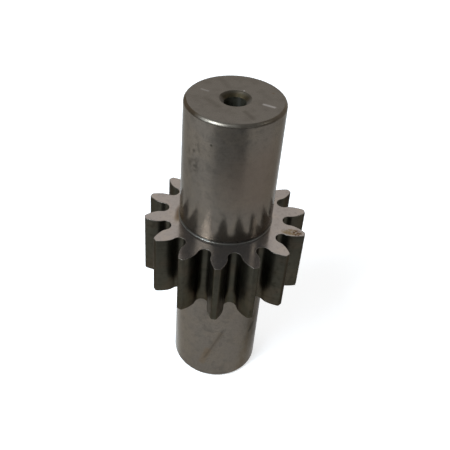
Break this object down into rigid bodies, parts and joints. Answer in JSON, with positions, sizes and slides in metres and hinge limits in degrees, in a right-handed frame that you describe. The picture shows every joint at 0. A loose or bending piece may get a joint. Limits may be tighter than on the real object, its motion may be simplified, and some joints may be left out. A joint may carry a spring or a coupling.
{
  "type": "gear wheel",
  "caption": "Straight toothed gear wheel made in one piece with a plain ground journal on each side and a bore through the shaft.",
  "frame": {"origin": "centre of the lower end face", "axes": "+Z along the shaft towards the upper end, with one tooth pointing along -Y"},
  "size_m": [0.0788, 0.0804, 0.1655],
  "materials": {
    "steel": "ground and polished, warm grey-brown"
  },
  "bodies": {
    "root": {"gear_shaft": "steel"}
  },
  "joints": []
}
